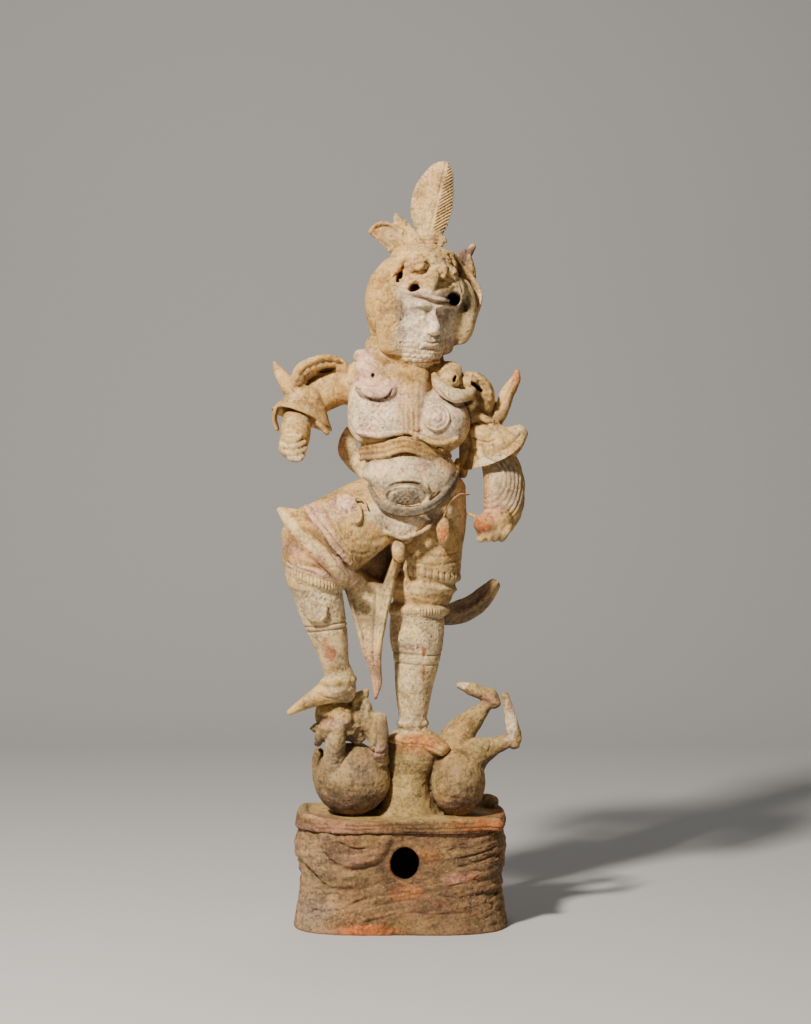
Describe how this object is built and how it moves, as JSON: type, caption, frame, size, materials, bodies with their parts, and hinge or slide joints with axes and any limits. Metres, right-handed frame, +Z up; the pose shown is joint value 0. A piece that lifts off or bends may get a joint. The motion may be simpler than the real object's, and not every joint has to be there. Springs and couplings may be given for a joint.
{
  "type": "tomb guardian figure",
  "caption": "Armoured earthenware tomb guardian, one foot raised, standing on a sprawled creature on a hollow rockwork plinth with a round vent hole.",
  "frame": {"origin": "on the ground, under the middle of the whole object's width and depth", "axes": "+Z up, the figure faces -Y, +X to the right of someone who looks at its front"},
  "size_m": [0.3302, 0.2144, 0.9613],
  "materials": {
    "bare_rockwork_earthenware": "matt fired clay with traces of slip and earth",
    "slipped_earthenware": "matt pale slip with traces of pigment"
  },
  "bodies": {
    "root": {"rockwork_plinth": "bare_rockwork_earthenware", "guardian_on_creature": "slipped_earthenware"}
  },
  "joints": []
}
